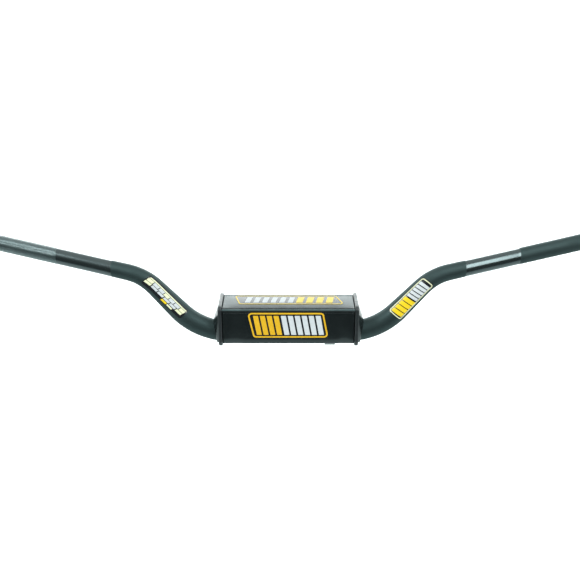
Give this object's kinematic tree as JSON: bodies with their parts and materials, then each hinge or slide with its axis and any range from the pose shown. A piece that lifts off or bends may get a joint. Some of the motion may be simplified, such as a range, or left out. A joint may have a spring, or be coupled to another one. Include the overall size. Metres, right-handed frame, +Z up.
{
  "type": "motorcycle handlebar",
  "caption": "Tapered alloy motocross handlebar, swept up and back, with a square foam-filled vinyl pad strapped over its clamp section.",
  "frame": {"origin": "on the bar's axis, at the middle of its clamp section", "axes": "+X along the clamp section to the bar's right end as seen from the front of the motorcycle, -Y to the front of the motorcycle, +Z up"},
  "size_m": [0.8316, 0.0896, 0.1413],
  "materials": {
    "anodised_alloy": "bead-blasted and anodised near-black",
    "plug_plastic": "moulded, matte",
    "decal_film": "printed gloss film",
    "pad_foam": "closed-cell foam, cut",
    "cover_vinyl": "glossy coated vinyl",
    "binding_tape": "satin folded vinyl binding",
    "badge_film": "printed gloss film",
    "label_webbing": "woven webbing",
    "fastener_tape": "hook-and-loop tape"
  },
  "bodies": {
    "bar": {"bar_tube": "anodised_alloy", "bar_end_plug_left": "plug_plastic", "bar_end_plug_right": "plug_plastic", "riser_decal_left": "decal_film", "riser_decal_right": "decal_film"},
    "pad": {"pad_foam_block": "pad_foam", "cover_front_panel": "cover_vinyl", "cover_top_panel": "cover_vinyl", "cover_rear_panel": "cover_vinyl", "piping_front": "cover_vinyl", "piping_rear": "cover_vinyl", "end_panel_left": "cover_vinyl", "end_panel_right": "cover_vinyl", "end_binding_left": "binding_tape", "end_binding_right": "binding_tape", "badge_front": "badge_film", "badge_top": "badge_film", "hem_label": "label_webbing", "loop_patch_left": "fastener_tape", "loop_patch_right": "fastener_tape"},
    "left_strap": {"strap_left": "cover_vinyl", "hook_patch_left": "fastener_tape"},
    "right_strap": {"strap_right": "cover_vinyl", "hook_patch_right": "fastener_tape"}
  },
  "joints": [
    {"name": "pad_turn", "type": "hinge", "parent": "bar", "child": "pad", "pos_m": [0, 0, 0], "axis": [1, 0, 0], "range_deg": [-20, 20]},
    {"name": "left_strap_open", "type": "hinge", "parent": "pad", "child": "left_strap", "pos_m": [-0.077, -0.0179, -0.01], "axis": [-1, 0, 0], "range_deg": [0, 150]},
    {"name": "right_strap_open", "type": "hinge", "parent": "pad", "child": "right_strap", "pos_m": [0.077, -0.0179, -0.01], "axis": [-1, 0, 0], "range_deg": [0, 150]}
  ]
}
